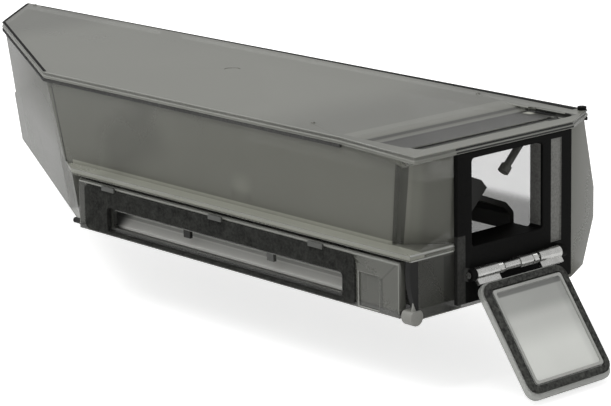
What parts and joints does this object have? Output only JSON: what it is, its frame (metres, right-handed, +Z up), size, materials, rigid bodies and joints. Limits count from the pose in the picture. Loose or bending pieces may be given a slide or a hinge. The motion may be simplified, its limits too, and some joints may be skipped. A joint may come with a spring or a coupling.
{
  "type": "robot vacuum dust bin",
  "caption": "Smoked hopper-shaped dust bin for a robot vacuum, with a felt-lined inlet slot in a hinged front panel and a spring-hinged emptying door at one end.",
  "frame": {"origin": "on the flat underside, midway along the body's length and midway across the top rim", "axes": "+X towards the door end, +Y from the inlet panel to the back, +Z up"},
  "size_m": [0.2848, 0.0807, 0.0632],
  "materials": {
    "smoked_housing": "smoked translucent polycarbonate, satin",
    "smoked_cover": "smoked translucent polycarbonate, fine satin",
    "clear_door": "clear grey polycarbonate, polished",
    "black_plastic": "black moulded plastic, fine texture",
    "guide_plastic": "dark moulded plastic",
    "pale_plastic": "pale grey moulded plastic",
    "felt": "dark grey felt",
    "black_rubber": "soft black rubber",
    "steel": "bright stainless steel",
    "filter_paper": "pleated filter paper"
  },
  "bodies": {
    "bin": {"housing": "smoked_housing", "top_cover": "smoked_cover", "cover_seal": "black_rubber", "corner_pin": "black_plastic", "edge_strip": "black_rubber", "panel_seal": "black_rubber", "pivot_lug": "pale_plastic", "inlet_hood": "guide_plastic", "hood_cheek": "guide_plastic", "sill_ramp": "pale_plastic", "end_frame": "black_plastic", "hinge_pin": "steel", "hinge_knuckle": "steel", "hinge_spacer": "steel", "torsion_spring_front": "steel", "torsion_spring_back": "steel", "filter_frame": "black_plastic", "filter_seal": "black_rubber", "filter_media": "filter_paper"},
    "inlet_door": {"inlet_panel": "smoked_housing", "inlet_felt": "felt", "panel_pin_left": "steel", "panel_pin_right": "steel", "felt_clip_1": "pale_plastic", "felt_clip_2": "pale_plastic", "felt_clip_3": "pale_plastic", "slot_hook_1": "black_plastic", "slot_hook_2": "pale_plastic"},
    "emptying_door": {"door_plate": "clear_door", "door_gasket": "black_rubber", "door_pane": "clear_door", "hinge_sleeve_front": "steel", "hinge_sleeve_back": "steel"}
  },
  "joints": [
    {"name": "emptying_door_hinge", "type": "hinge", "parent": "bin", "child": "emptying_door", "pos_m": [0.12885, 0, 0.0093], "axis": [0, 1, 0], "range_deg": [-144, 0], "stiffness_Nm_per_rad": 0.004, "deforming": ["torsion_spring_front", "torsion_spring_back"]},
    {"name": "inlet_panel_hinge", "type": "hinge", "parent": "bin", "child": "inlet_door", "pos_m": [0, -0.0342, 0.0016], "axis": [1, 0, 0], "range_deg": [0, 80]}
  ]
}
